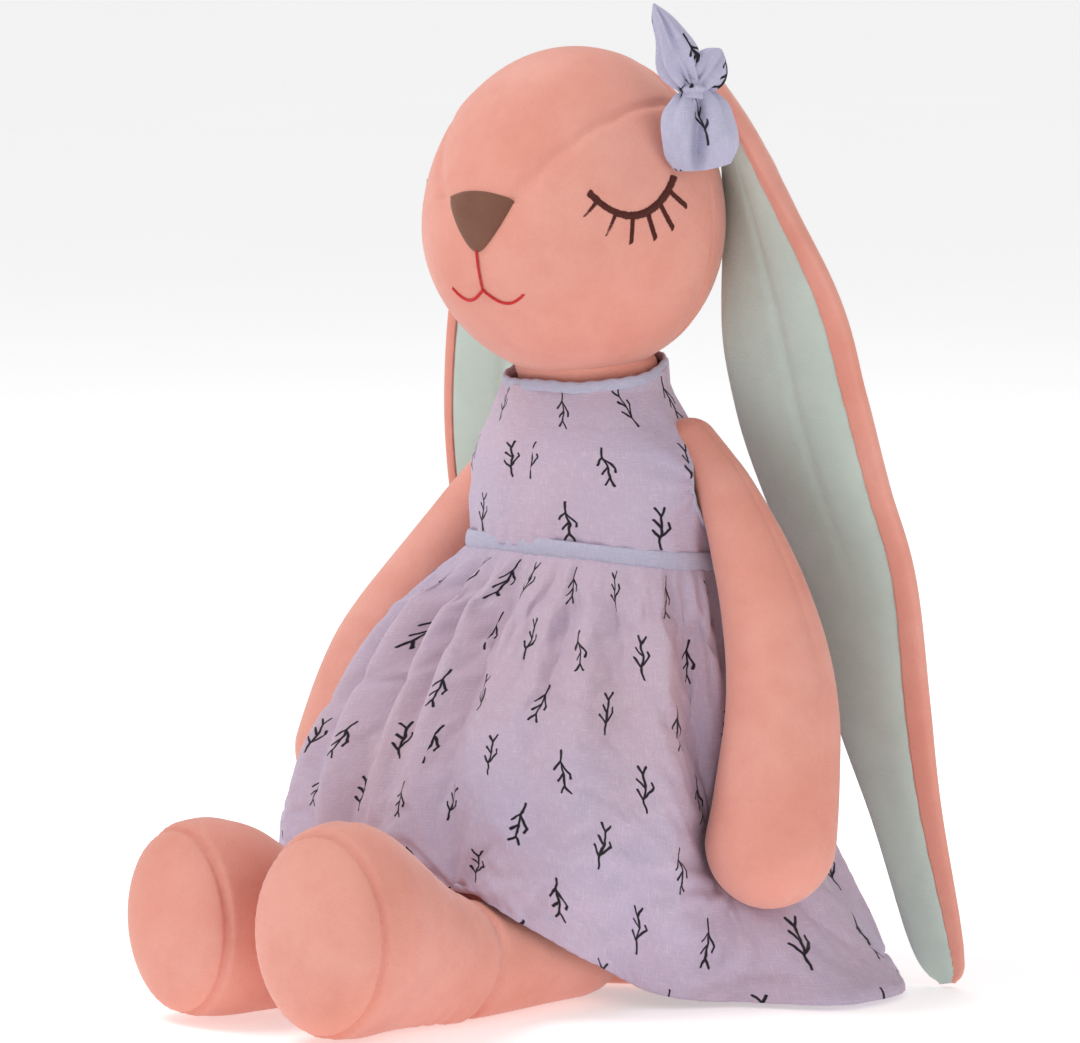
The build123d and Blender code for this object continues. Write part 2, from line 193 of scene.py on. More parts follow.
# ---- materials ----------------------------------------------------------------------
class Nodes:
    """A material's node tree, with short ways to add and link nodes."""

    def __init__(self, name):
        self.material = bpy.data.materials.new(name)
        self.material.use_nodes = True
        self.tree = self.material.node_tree
        self.shader = self.tree.nodes["Principled BSDF"]

    def add(self, kind, inputs=None, **settings):
        node = self.tree.nodes.new("ShaderNode" + kind)
        for key, value in settings.items():
            setattr(node, key, value)
        for key, value in (inputs or {}).items():
            if isinstance(value, bpy.types.NodeSocket):
                self.tree.links.new(value, node.inputs[key])
            else:
                node.inputs[key].default_value = value
        return node

    def math(self, operation, a, b=0.0, clamp=False):
        node = self.add("Math", {0: a, 1: b}, operation=operation, use_clamp=clamp)
        return node.outputs[0]

    def vector(self, operation, a, b=(0, 0, 0)):
        return self.add("VectorMath", {0: a, 1: b}, operation=operation)

    def mix(self, factor, a, b):
        node = self.add("Mix", data_type="RGBA")
        for socket, value in ((node.inputs[0], factor), (node.inputs[6], a), (node.inputs[7], b)):
            if isinstance(value, bpy.types.NodeSocket):
                self.tree.links.new(value, socket)
            else:
                socket.default_value = value
        return node.outputs[2]

    def noise(self, where, scale, detail=3.0, roughness=0.5):
        inputs = {"Vector": where, "Scale": scale, "Detail": detail, "Roughness": roughness}
        return self.add("TexNoise", inputs).outputs["Fac"]

    def ramp(self, value, low, high):
        """value from low to high, as 0 to 1."""
        node = self.add("MapRange", {"Value": value, "From Min": low, "From Max": high})
        return node.outputs[0]

    def finish(self, color, height=None, bump_distance=0.0003, bump=0.5, **constants):
        self.tree.links.new(color, self.shader.inputs["Base Color"])
        if height is not None:
            inputs = {"Height": height, "Distance": bump_distance, "Strength": bump}
            normal = self.add("Bump", inputs).outputs[0]
            self.tree.links.new(normal, self.shader.inputs["Normal"])
        for key, value in constants.items():
            self.shader.inputs[key.replace("_", " ")].default_value = value
        return self.material


def srgb(red, green, blue):
    """A colour named in 0 to 255 screen values, as the linear colour that nodes take."""
    def linear(value):
        value /= 255
        return value / 12.92 if value <= 0.04045 else ((value + 0.055) / 1.055) ** 2.4
    return (linear(red), linear(green), linear(blue), 1)


def velour(name, base, light, deep, sheen_tint):
    """Short-pile plush: a fine nap, with lighter and deeper patches where the pile lies over."""
    nodes = Nodes(name)
    where = nodes.add("TexCoord").outputs["Object"]
    patches = nodes.ramp(nodes.noise(where, 22, 2), 0.38, 0.66)
    brushed = nodes.ramp(nodes.noise(where, 95, 4, 0.6), 0.42, 0.72)
    nap = nodes.noise(where, 2600, 2, 0.7)
    tufts = nodes.add("TexVoronoi", {"Vector": where, "Scale": 1500}).outputs["Distance"]
    color = nodes.mix(patches, base, light)
    color = nodes.mix(nodes.math("MULTIPLY", brushed, 0.22), color, deep)
    color = nodes.mix(nodes.math("MULTIPLY", nodes.ramp(nap, 0.35, 0.6), 0.16), color, deep)
    height = nodes.math("ADD", nap, nodes.math("MULTIPLY", tufts, 0.8))
    rough = nodes.math("ADD", nodes.math("MULTIPLY", brushed, 0.12), 0.78)
    nodes.tree.links.new(rough, nodes.shader.inputs["Roughness"])
    return nodes.finish(
        color, height, 0.00025, 0.45,
        Sheen_Weight=0.45, Sheen_Roughness=0.35, Sheen_Tint=sheen_tint, Specular_IOR_Level=0.2,
    )


# a sprig in its own cell, in millimetres: each stroke runs from one point to another
SPRIG = [
    ((0.2, -7.0), (-0.3, -3.4)),
    ((-0.3, -3.4), (0.4, 1.0)),
    ((0.4, 1.0), (0.0, 4.4)),
    ((0.0, 4.4), (-1.5, 6.8)),
    ((0.0, 4.4), (1.4, 7.0)),
    ((-0.3, -3.4), (-2.6, -0.6)),
    ((-0.1, -2.8), (2.6, 0.8)),
    ((0.3, 0.4), (-1.9, 2.8)),
    ((2.6, 0.8), (2.3, 2.2)),
]
SPRIG_CELL = (27 * MM, 21.5 * MM)
STROKE_HALF = 0.42 * MM


def sprig_mask(nodes, uv):
    """1 on the printed sprigs: one to a cell, in staggered rows, every other one upside down."""
    split = nodes.add("SeparateXYZ", {0: uv}).outputs
    row_place = nodes.math("DIVIDE", split[1], SPRIG_CELL[1])
    row = nodes.math("FLOOR", row_place)
    stagger = nodes.math("MULTIPLY", nodes.math("PINGPONG", row, 1.0), 0.5)
    column_place = nodes.math("ADD", nodes.math("DIVIDE", split[0], SPRIG_CELL[0]), stagger)
    column = nodes.math("FLOOR", column_place)
    flip = nodes.math("PINGPONG", nodes.math("ADD", row, column), 1.0)
    sign = nodes.math("SUBTRACT", nodes.math("MULTIPLY", flip, 2.0), 1.0)
    local_x = nodes.math("SUBTRACT", nodes.math("FRACT", column_place), 0.5)
    local_y = nodes.math("SUBTRACT", nodes.math("FRACT", row_place), 0.5)
    x = nodes.math("MULTIPLY", local_x, SPRIG_CELL[0])
    y = nodes.math("MULTIPLY", nodes.math("MULTIPLY", local_y, SPRIG_CELL[1]), sign)
    cell = nodes.add("CombineXYZ", {0: column, 1: row})
    chance = nodes.add("TexWhiteNoise", {"Vector": cell.outputs[0]}, noise_dimensions="3D")
    turn = nodes.math("MULTIPLY", nodes.math("SUBTRACT", chance.outputs["Value"], 0.5), 0.5)
    here = nodes.add("CombineXYZ", {0: x, 1: y}).outputs[0]
    here = nodes.add("VectorRotate", {"Vector": here, "Angle": turn}, rotation_type="Z_AXIS").outputs[0]
    wobble = nodes.add("TexNoise", {"Vector": uv, "Scale": 260, "Detail": 1}).outputs["Color"]
    wobble = nodes.vector("SUBTRACT", wobble, (0.5, 0.5, 0.5)).outputs[0]
    here = nodes.vector("ADD", here, nodes.vector("MULTIPLY", wobble, (0.0016, 0.0016, 0)).outputs[0])
    nearest = None
    for start, end in SPRIG:
        a, b = np.array([*start, 0]) * MM, np.array([*end, 0]) * MM
        run = b - a
        offset = nodes.vector("SUBTRACT", here.outputs[0], tuple(a)).outputs[0]
        dot = nodes.vector("DOT_PRODUCT", offset, tuple(run / run.dot(run))).outputs["Value"]
        share = nodes.math("MULTIPLY", dot, 1.0, clamp=True)
        foot = nodes.add("VectorMath", {0: tuple(run), "Scale": share}, operation="SCALE").outputs[0]
        gap = nodes.vector("DISTANCE", offset, foot).outputs["Value"]
        nearest = gap if nearest is None else nodes.math("MINIMUM", nearest, gap)
    mask = nodes.ramp(nearest, STROKE_HALF * 1.25, STROKE_HALF * 0.7)
    return nodes.math("MULTIPLY", mask, 1.0, clamp=True)


# each cotton cloth's two tones
COTTON_TONES = {
    "bow_print": (srgb(184, 182, 208), srgb(198, 198, 220)),
    "lilac_print": (srgb(201, 176, 190), srgb(194, 180, 205)),
    "plain": (srgb(180, 178, 200), srgb(186, 184, 206)),
}


def cotton(name, tones, printed):
    """Light slubby cotton, printed with dark sprigs or plain."""
    nodes = Nodes(name)
    uv = nodes.add("UVMap", uv_map="cloth").outputs[0]
    where = nodes.add("TexCoord").outputs["Object"]
    tone = nodes.ramp(nodes.noise(where, 14, 2), 0.35, 0.68)
    color = nodes.mix(tone, *COTTON_TONES[tones])
    stretched = nodes.add("Mapping", {"Vector": uv, "Scale": (260, 2400, 1)}).outputs[0]
    warp_slubs = nodes.noise(stretched, 1, 3)
    crossed = nodes.add("Mapping", {"Vector": uv, "Scale": (2400, 260, 1)}).outputs[0]
    weft_slubs = nodes.noise(crossed, 1, 3)
    slubs = nodes.math("MAXIMUM", warp_slubs, weft_slubs)
    color = nodes.mix(
        nodes.math("MULTIPLY", nodes.ramp(slubs, 0.52, 0.74), 0.45), color, srgb(228, 214, 224)
    )
    thread = 2 * math.pi / (0.55 * MM)
    split = nodes.add("SeparateXYZ", {0: uv}).outputs
    warp = nodes.math("SINE", nodes.math("MULTIPLY", split[0], thread))
    weft = nodes.math("SINE", nodes.math("MULTIPLY", split[1], thread))
    weave = nodes.math("MAXIMUM", warp, weft)
    # painted shade: the cloth is darkened in the gaps between its threads, where the weave's bump sits
    # lowest
    color = nodes.mix(
        nodes.math("MULTIPLY", nodes.ramp(weave, 0.6, -0.9), 0.18), color, srgb(150, 132, 160)
    )
    if printed:
        color = nodes.mix(sprig_mask(nodes, uv), color, srgb(30, 25, 34))
    height = nodes.math("ADD", nodes.math("MULTIPLY", weave, 0.35), nodes.math("MULTIPLY", slubs, 1.2))
    return nodes.finish(
        color, height, 0.0003, 0.4,
        Roughness=0.85, Sheen_Weight=0.15, Sheen_Roughness=0.5, Specular_IOR_Level=0.25,
    )


def thread(name, base, light):
    """Glossy embroidery thread, its fibres running along each stitch."""
    nodes = Nodes(name)
    where = nodes.add("TexCoord").outputs["Object"]
    fibres = nodes.noise(where, 3000, 3)
    color = nodes.mix(nodes.ramp(fibres, 0.35, 0.7), base, light)
    return nodes.finish(
        color, fibres, 0.0001, 0.3,
        Roughness=0.5, Sheen_Weight=0.04, Specular_IOR_Level=0.3,
    )


# each plush: its base, lighter and deeper tones, and the tint of its sheen
PEACH = velour(
    "peach_velour", srgb(230, 157, 140), srgb(236, 170, 155), srgb(212, 131, 115), (1, 0.88, 0.86, 1),
)
GREEN = velour(
    "green_velour", srgb(196, 212, 203), srgb(206, 221, 213), srgb(176, 193, 183), (0.95, 1, 0.96, 1),
)
BROWN = velour("nose_velour", srgb(120, 80, 65), srgb(138, 97, 80), srgb(92, 58, 45), (0.9, 0.8, 0.7, 1))
PRINTED = cotton("printed_cotton", "lilac_print", True)
BOW_PRINT = cotton("printed_bow_cotton", "bow_print", True)
PLAIN = cotton("plain_cotton", "plain", False)
EYE_THREAD = thread("brown_thread", srgb(70, 22, 14), srgb(98, 40, 28))
MOUTH_THREAD = thread("red_thread", srgb(196, 30, 36), srgb(224, 62, 62))


# ---- head ---------------------------------------------------------------------------
face_box, back_box = np.array(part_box("head_face_panel")), np.array(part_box("head_back_panel_left"))
head_low, head_high = np.minimum(face_box[0], back_box[0]), np.maximum(face_box[1], back_box[1])
HEAD_CENTRE = np.array([0, (head_low[1] + head_high[1]) / 2, (head_low[2] + head_high[2]) / 2])
HEAD_CENTRE[2] -= 0.8 * MM
HEAD_RADIUS = head_high[0] + 0.7 * MM
HEAD_HALF_HEIGHT = (head_high[2] - head_low[2]) / 2 - 1.2 * MM
HEAD_HALF_DEPTH = (head_high[1] - head_low[1]) / 2 + 0.5 * MM
NOSE_Z = HEAD_CENTRE[2] + 6.3 * MM
EAR_SEAM_Y = 4 * MM
FOREHEAD_SEAM = np.array([(12, -58), (21, -51), (28, -41.5), (32.5, -28), (34, -12), (32, 4)]) * MM
HEAD_FULLNESS = 2.05      # 2 is an ellipse, more is squarer
HEAD_EGG = 0.05           # how much wider the lower half is
CHEEK_TURN = 140          # degrees round from the back of the head
CHEEK_Z = 235 * MM
SEAM_HALF = 1.1 * MM
SEAM_DEPTH = 1.0 * MM


def head_point(turn, height, lift=0.0):
    """A point on the head: turn in degrees from the nose towards its left ear, and its height."""
    t = np.clip((np.asarray(height) - HEAD_CENTRE[2]) / HEAD_HALF_HEIGHT, -1, 1)
    angle = np.radians(turn)
    out = np.sqrt(1 - np.abs(t) ** HEAD_FULLNESS) * (1 - HEAD_EGG * t)
    point = np.stack([
        HEAD_RADIUS * out * np.sin(angle),
        HEAD_CENTRE[1] - HEAD_HALF_DEPTH * out * np.cos(angle),
        HEAD_CENTRE[2] + HEAD_HALF_HEIGHT * t,
    ], axis=-1)
    slope = np.stack([
        np.sin(angle) * out / HEAD_RADIUS,
        -np.cos(angle) * out / HEAD_HALF_DEPTH,
        t / HEAD_HALF_HEIGHT,
    ], axis=-1)
    return point + unit(slope) * np.asarray(lift)[..., None]


def near_segment(points, start, end):
    """Each point's distance from a straight seam, seen from above or from the side."""
    start, end = np.asarray(start), np.asarray(end)
    run = end - start
    share = np.clip((points - start) @ run / run.dot(run), 0, 1)
    return np.linalg.norm(points - start - share[..., None] * run, axis=-1)


def make_head():
    rows, columns = 200, 320
    tilt = np.linspace(-math.pi / 2 + 0.02, math.pi / 2 - 0.02, rows)
    turn = np.arange(columns) / columns * 360
    turns, heights = np.meshgrid(turn, HEAD_CENTRE[2] + HEAD_HALF_HEIGHT * np.sin(tilt))
    points = head_point(turns, heights)
    # the forehead seams run from the nose's corners, round the brow, up and back to the ears
    plan = np.abs(points[..., :2] * [1, 0]) + points[..., :2] * [0, 1]
    seam_ends = zip(FOREHEAD_SEAM[:-1], FOREHEAD_SEAM[1:])
    forehead = np.min([near_segment(plan, start, end) for start, end in seam_ends], axis=0)
    forehead[points[..., 2] < NOSE_Z] = 1
    over = np.abs(points[..., 1] - EAR_SEAM_Y)
    back = np.where(points[..., 1] > EAR_SEAM_Y, np.abs(points[..., 0]), 1)
    seam = np.minimum(np.minimum(forehead, over), back)
    groove = hump(seam, SEAM_HALF) * SEAM_DEPTH
    pucker = ripple(points, 260, 3) * hump(seam, 5 * MM) * 0.35 * MM
    cheeks = hump(np.abs(turns - 180) - CHEEK_TURN, 22) * hump(points[..., 2] - CHEEK_Z, 20 * MM)
    lift = ripple(points, 45, 4) * 0.5 * MM + pucker - groove + cheeks * 1.2 * MM
    points = head_point(turns, heights, lift)
    head = grid_piece("head", points, [PEACH], wrap=True, caps=True)
    return place(
        head, "head", "peach_velour", "head_face_panel", "head_forehead_gusset",
        "head_back_panel_left", "head_back_panel_right", "head_stuffing",
    )


def stitches(name, line, outward, width, pitch, lean, thread_radius, material):
    """Satin stitches side by side along a line of points: each crosses the line, slightly arched."""
    length = np.concatenate([[0], np.cumsum(np.linalg.norm(np.diff(line, axis=0), axis=1))])
    count = max(int(length[-1] / pitch), 2)
    place_at = np.linspace(0, length[-1], count)
    middle = np.stack([np.interp(place_at, length, line[:, k]) for k in range(3)], axis=1)
    normal = unit(np.stack([np.interp(place_at, length, outward[:, k]) for k in range(3)], axis=1))
    along = unit(np.gradient(middle, axis=0))
    across = unit(np.cross(along, normal) + along * lean)
    random = np.random.default_rng(count)
    points, faces = [], []
    steps = np.linspace(-1, 1, 7)
    sides = around(6)
    for number in range(count):
        half = width / 2 * (1 + random.uniform(-0.1, 0.1))
        thick = thread_radius * random.uniform(0.85, 1.1)
        base = len(points)
        for step in steps:
            arch = math.sqrt(1 - (0.92 * step) ** 2) * thread_radius * 1.6
            ring_middle = middle[number] + across[number] * step * half + normal[number] * arch
            size = thick * math.sqrt(1 - (0.9 * step) ** 2)
            for side in sides:
                turned = along[number] * math.cos(side) + normal[number] * math.sin(side)
                points.append(ring_middle + turned * size)
        for i in range(len(steps) - 1):
            for j in range(6):
                k = (j + 1) % 6
                low = base + i * 6
                faces.append((low + j, low + k, low + 6 + k, low + 6 + j))
        faces.append(tuple(base + j for j in range(5, -1, -1)))
        last = base + (len(steps) - 1) * 6
        faces.append(tuple(last + j for j in range(6)))
    return mesh_piece(name, np.array(points), faces, None, [material])


def join(name, pieces):
    """Several pieces as one mesh."""
    with bpy.context.temp_override(
        active_object=pieces[0], selected_editable_objects=pieces, object=pieces[0]
    ):
        bpy.ops.object.join()
    pieces[0].name = name
    pieces[0].data.name = name
    return pieces[0]


def on_head(turns, heights, side=1):
    """A line on the head and its outward directions."""
    line = head_point(turns, heights)
    outward = unit(head_point(turns, heights, MM) - line)
    if side < 0:
        line, outward = line * [-1, 1, 1], outward * [-1, 1, 1]
    return line, outward


EYE_TURN = 67
EYE_HALF_TURN = 18.5
EYE_Z = HEAD_CENTRE[2] + 9.8 * MM
# each lash: the share of the way along the eye where it starts, then how far it leans outwards
# and how far it drops, in millimetres
LASHES = [
    (0.08, -5.4, 6.2),
    (0.27, -3.6, 7.8),
    (0.45, -0.6, 8.4),
    (0.62, 2.6, 8.4),
    (0.77, 4.6, 8.2),
    (0.9, 6.6, 5.4),
]


def eye_place(share):
    """Turn and height along the closed eyelid, from its inner end at 0 to its outer end at 1."""
    turn = EYE_TURN + (2 * share - 1) * EYE_HALF_TURN
    height = EYE_Z - 9.2 * MM * (1 - (2 * share - 1) ** 2) + 4.0 * MM * share
    return turn, height


def make_eye(side, name):
    lid = on_head(*eye_place(np.linspace(0, 1, 60)), side)
    pieces = [stitches(name, *lid, 2.7 * MM, 0.42 * MM, 0.25, 0.32 * MM, EYE_THREAD)]
    for number, (share, lean, drop) in enumerate(LASHES):
        turn, height = eye_place(share)
        down = np.linspace(0, 1, 14)
        turns = turn + np.degrees(lean * MM / HEAD_RADIUS) * down**1.2
        heights = height - drop * MM * down
        lash = on_head(turns, heights, side)
        pieces.append(
            stitches(f"{name}_lash_{number}", *lash, 2.0 * MM, 0.42 * MM, 0.6, 0.3 * MM, EYE_THREAD)
        )
    return place(join(name, pieces), "head", "brown_thread", f"{name}_stitching")


FACE_TURN = 3       # degrees: the nose and mouth sit a little towards its left


def make_mouth():
    top = HEAD_CENTRE[2] - 9 * MM
    split = top - 12.5 * MM
    lines = [(np.zeros(20), np.linspace(top, split, 20))]
    share = np.linspace(0, 1, 30)
    for side in (-1, 1):
        turns = side * 19 * share
        heights = split - 4.6 * MM * np.sin(share * math.pi * 0.78) + 2.2 * MM * share**2
        lines.append((turns, heights))
    pieces = []
    for number, (turns, heights) in enumerate(lines):
        line = on_head(turns + FACE_TURN, heights)
        pieces.append(stitches(f"mouth_{number}", *line, 1.5 * MM, 0.6 * MM, 1.1, 0.32 * MM, MOUTH_THREAD))
    return place(join("mouth", pieces), "head", "red_thread", "mouth_stitching")


def make_nose():
    """A sewn-on patch: a rounded triangle with an arched top, slightly padded, turned-in edge."""
    rings, columns = 14, 96
    corner = [
        (-13.2, 0.8), (-7, 2.6), (0, 3.2), (7, 2.6), (13.2, 0.8), (12.2, -2.6), (8, -9), (3.4, -14.2),
        (0, -15.8), (-3.4, -14.2), (-8, -9), (-12.2, -2.6), (-13.2, 0.8),
    ]
    outline = smooth(np.array(corner) * MM, columns + 1)[:-1]
    middle = np.array([0, -3.5 * MM])
    share = np.linspace(1, 0.04, rings) ** 0.9
    plan = middle + share[:, None, None] * (outline - middle)
    lift = 0.9 * MM * np.sqrt(np.clip(1 - share**6, 0, 1)) + 0.5 * MM * (1 - share**2)
    plan_rings = np.concatenate([plan[:1], plan])
    lifts = np.concatenate([[-0.8 * MM], lift + 0.15 * MM])
    turns = FACE_TURN + np.degrees(plan_rings[..., 0] / HEAD_RADIUS)
    points = head_point(turns, NOSE_Z + plan_rings[..., 1], np.broadcast_to(lifts[:, None], turns.shape))
    nose = grid_piece("nose", points, [BROWN], wrap=True, caps=True)
    return place(nose, "head", "nose_velour", "nose_patch")


# ---- ears ---------------------------------------------------------------------------
# each ear from root to tip: distance out, y, z, half width, turn of the width, and how far the
# lining's seam is set in from the ear's outer edge
EAR_TIP = [
    (93, 56, 18, 9.4, -10, 4),
    (96.5, 58, 6, 6.4, -10, 3),
    (97.3, 58.4, 1.6, 2, -10, 0.8),
]
EARS = {
    "left": [
        (33, 12, 287, 7, 40, 0.6),
        (36, 15, 283, 9.5, 38, 1.5),
        (43, 21, 262, 15.5, 26, 4),
        (54, 25.5, 218, 26, 4, 7),
        (58.5, 31, 186, 27.5, 0, 7),
        (65, 36.5, 157, 25.5, -1, 6.5),
        (72.5, 42, 130, 22.4, -3, 6.5),
        (78.5, 46.5, 90, 18, -6, 7),
        (85, 51.5, 55, 12.6, -8, 6),
        *EAR_TIP,
    ],
    "right": [
        (33, 12, 287, 7, 40, 0.6),
        (36, 15, 283, 9.5, 38, 1.5),
        (45, 20, 262, 15.5, 30, 3),
        (62, 27.5, 212, 25, 10, 4),
        (69, 31, 178, 26.5, 6, 4),
        (73, 34.5, 150, 25.5, 4, 4),
        (77, 41, 125, 23.4, 2, 4.2),
        (82, 47.5, 90, 19, -6, 5.5),
        (86, 51.5, 55, 12.6, -8, 6),
        *EAR_TIP,
    ],
}
LINING_OVERLAP = 0.7 * MM       # how far the lining wraps past the inner edge
EAR_BACK_BULGE = 6.4 * MM
EAR_FRONT_BULGE = 2.6 * MM


def make_ear(side, word):
    """The ear's padded back and its lining, which meet in a seam set in from the outer edge."""
    rows = 120
    stations = smooth(np.array(EARS[word]), rows)
    centres = stations[:, :3] * MM
    half = stations[:, 3] * MM
    turn = np.radians(stations[:, 4])
    outer_inset = stations[:, 5] * MM
    width = np.stack([np.cos(turn), -np.sin(turn), 0 * turn], axis=1)
    along = unit(np.gradient(centres, axis=0))
    width = unit(width - along * np.sum(width * along, axis=1, keepdims=True))
    front = np.cross(along, width)
    plump = np.clip(half / (17 * MM), 0.3, 1)[:, None]
    low_share = -1 - (LINING_OVERLAP / half)[:, None]
    high_share = 1 - (outer_inset / half)[:, None]

    def surface(share, lift):
        """Points across the ear: share from -1 to 1 of its half width, lift towards the front."""
        wave = ripple(centres, 55, 11) * 1.2 * MM
        points = centres[:, None] + width[:, None] * (share * half[:, None])[..., None]
        return points + front[:, None] * (lift + wave[:, None] * share**2)[..., None]

    # the back: from the seam on the front, round the outer rim, over the back, round the inner rim
    outer_lip = np.linspace(0, 1, 14)[None]
    angle = np.linspace(0, math.pi, 56)[None]
    rise = EAR_FRONT_BULGE * 0.75 * plump
    across = np.concatenate([
        high_share + (1 - high_share) * np.sin(outer_lip * math.pi / 2),
        np.cos(angle[:, 1:]) + 0 * high_share,
    ], axis=1)
    depth = np.concatenate([
        rise * np.cos(outer_lip * math.pi / 2) ** 0.7,
        -np.abs(np.sin(angle[:, 1:])) ** 0.8 * EAR_BACK_BULGE * plump,
    ], axis=1)
    quilt = ripple(centres, 90, 5)[:, None] * 0.35 * MM
    puckers = np.sin(np.arange(rows) * 1.9)[:, None] * 0.12 * MM
    seam_side = hump((across - high_share) * half[:, None], 2.5 * MM)
    back_points = surface(across, depth + quilt * 0.6 + puckers * seam_side)

    # the lining: crowned, its turned-in edge tucked under the back's lip
    cross = np.linspace(-1, 1, 56)[None]
    lining_high = high_share + (LINING_OVERLAP / half)[:, None]
    share = (low_share + lining_high) / 2 + cross * (lining_high - low_share) / 2
    crown = (1 - cross**4) * EAR_FRONT_BULGE * 0.6 * plump
    fade = np.clip(1 - np.arange(rows) / 70, 0, 1)[:, None]
    crease = -1.4 * MM * hump(cross - 0.15, 0.1) * fade
    tuck = -0.7 * MM * hump(1 - cross, 0.03)
    inner_tuck = -0.8 * MM * hump(1 + cross, 0.02)
    rolled = rise * 0.75 * (1 - hump(1 + cross, 0.07)) + inner_tuck
    lining_points = surface(share, rolled + crown + crease + tuck + quilt)
    if side < 0:
        back_points = (back_points * [-1, 1, 1])[:, ::-1]
        lining_points = (lining_points * [-1, 1, 1])[:, ::-1]
    body = f"{word}_ear"
    back = grid_piece(f"ear_{word}_back", back_points, [PEACH])
    lining = grid_piece(f"ear_{word}_lining", lining_points, [GREEN])
    modify(back, "SOLIDIFY", thickness=1.0 * MM, offset=0)
    modify(lining, "SOLIDIFY", thickness=0.8 * MM, offset=0)
    place(back, body, "peach_velour", f"ear_back_{word}", f"ear_filling_{word}")
    place(lining, body, "green_velour", f"ear_lining_{word}")


# ---- arms and legs ------------------------------------------------------------------
SHOULDER = np.array(JOINTS["left_arm_lift"]["pos_m"])
# from the shoulder: x, y, z offset and radius
LEFT_ARM = [
    (-10, 0, 0, 9.5),
    (-3, 0, -5, 9),
    (5, 0.2, -14, 10.2),
    (14, 0, -29, 12.6),
    (22, -1, -44, 14.2),
    (30, -3, -62, 15.9),
    (35, -6, -80, 17.3),
    (36.5, -10, -101, 18.8),
    (36, -13, -120, 20.4),
]
RIGHT_ARM = [
    (-10, 0, 0, 9.5),
    (-3, 0, -5, 8.8),
    (3, 0.3, -14, 9.8),
    (11, 0, -29, 11.7),
    (19, -1, -46, 13.2),
    (27, -3, -64, 14.8),
    (33, -7, -84, 16.7),
    (35.5, -10, -102, 18.2),
    (36, -13, -120, 19.6),
]
RIGHT_ARM_SPREAD = math.radians(12)


def spread_right_arm(points):
    """The left arm's points as the right arm's, which lies further out."""
    points = points * [-1, 1, 1]
    pivot = SHOULDER * [-1, 1, 1]
    c, s = math.cos(RIGHT_ARM_SPREAD), math.sin(RIGHT_ARM_SPREAD)
    x, y, z = (points - pivot).transpose(2, 0, 1)
    return pivot + np.stack([x * c + z * s, y, z * c - x * s], axis=2)


def make_arm(side, word):
    stations = np.array(LEFT_ARM if side > 0 else RIGHT_ARM) * MM
    stations[:, :3] += SHOULDER
    stations = smooth(rounded_ends(smooth(stations, 14), 7), 120)
    side_axis = np.tile([0, 1.0, 0], (len(stations), 1))
    radius = np.maximum(stations[:, 3], 0.6 * MM)
    points = tube(stations[:, :3], side_axis, radius, radius, 96)
    angle = around(96)
    middle = stations[:, None, :3]
    outward = unit(points - middle)
    seam = np.minimum(np.abs(np.sin((angle - math.pi / 2) / 2)), np.abs(np.sin((angle + math.pi / 2) / 2)))
    groove = hump(seam * 2 * 16, 1.3) * 0.7 * MM
    lift = ripple(points, 60, 21) * 0.7 * MM + ripple(points, 210, 22) * 0.12 * MM - groove[None]
    shrink = np.clip(radius / (8 * MM), 0, 1)[:, None]
    points = points + outward * (lift * shrink)[..., None]
    if side < 0:
        points = spread_right_arm(points)[:, ::-1]
    arm = grid_piece(f"arm_{word}", points, [PEACH], wrap=True, caps=True)
    names = [f"arm_{part}_{word}" for part in ("front_panel", "back_panel", "stuffing")]
    return place(arm, f"{word}_arm", "peach_velour", *names)


ABOVE_FLOOR = 0.3 * MM        # plush lies at least this far above the floor
HIP = np.array(JOINTS["left_leg_drop"]["pos_m"])
# forward from the hip, the middle's height, half width and half height
LEG = [
    (0, 18, 16.2, 16.4),
    (-25, 18.2, 16.2, 17),
    (-40, 18.6, 15.8, 17.6),
    (-52, 20.4, 16.6, 19.4),
    (-62, 24, 19, 23),
    (-73, 28.6, 21.8, 27.6),
    (-85, 32.6, 24, 31.6),
    (-97, 34.8, 25, 33.6),
    (-107, 35.4, 24.6, 33),
    (-111.5, 35, 23.8, 31.6),
    (-115.5, 34.8, 21.5, 28.4),
    (-118.5, 34.6, 17, 22.4),
    (-120.5, 34.6, 9, 12),
    (-121, 34.6, 1, 1.4),
]
LEG_COLUMNS = 112
FOOT_STATION = 5        # the row of LEG where the foot starts
FOOT_SCALE = {"left": 1.0, "right": 0.92}      # the right foot lies over a little, so it is lower
SOLE_STATION = 9        # the row of LEG where the sole is sewn on
ANKLE_CREASE = 46 * MM  # how far in front of the hip the ankle folds
FOOT_BEND = (62 * MM, 100 * MM)       # where the foot starts and ends its turn, in front of the hip
FOOT_TURN_OUT = {"left": 14, "right": 3}     # degrees
LEG_SPLAY = {"left": -3.2, "right": 2.6}     # degrees: the left leg lies a little inwards


def turn_about(points, pivot, angle):
    """Points turned about an upright line through pivot, by one angle or by an angle each."""
    x, y = points[..., 0] - pivot[0], points[..., 1] - pivot[1]
    c, s = np.cos(angle), np.sin(angle)
    return np.stack([pivot[0] + x * c - y * s, pivot[1] + x * s + y * c, points[..., 2]], axis=2)


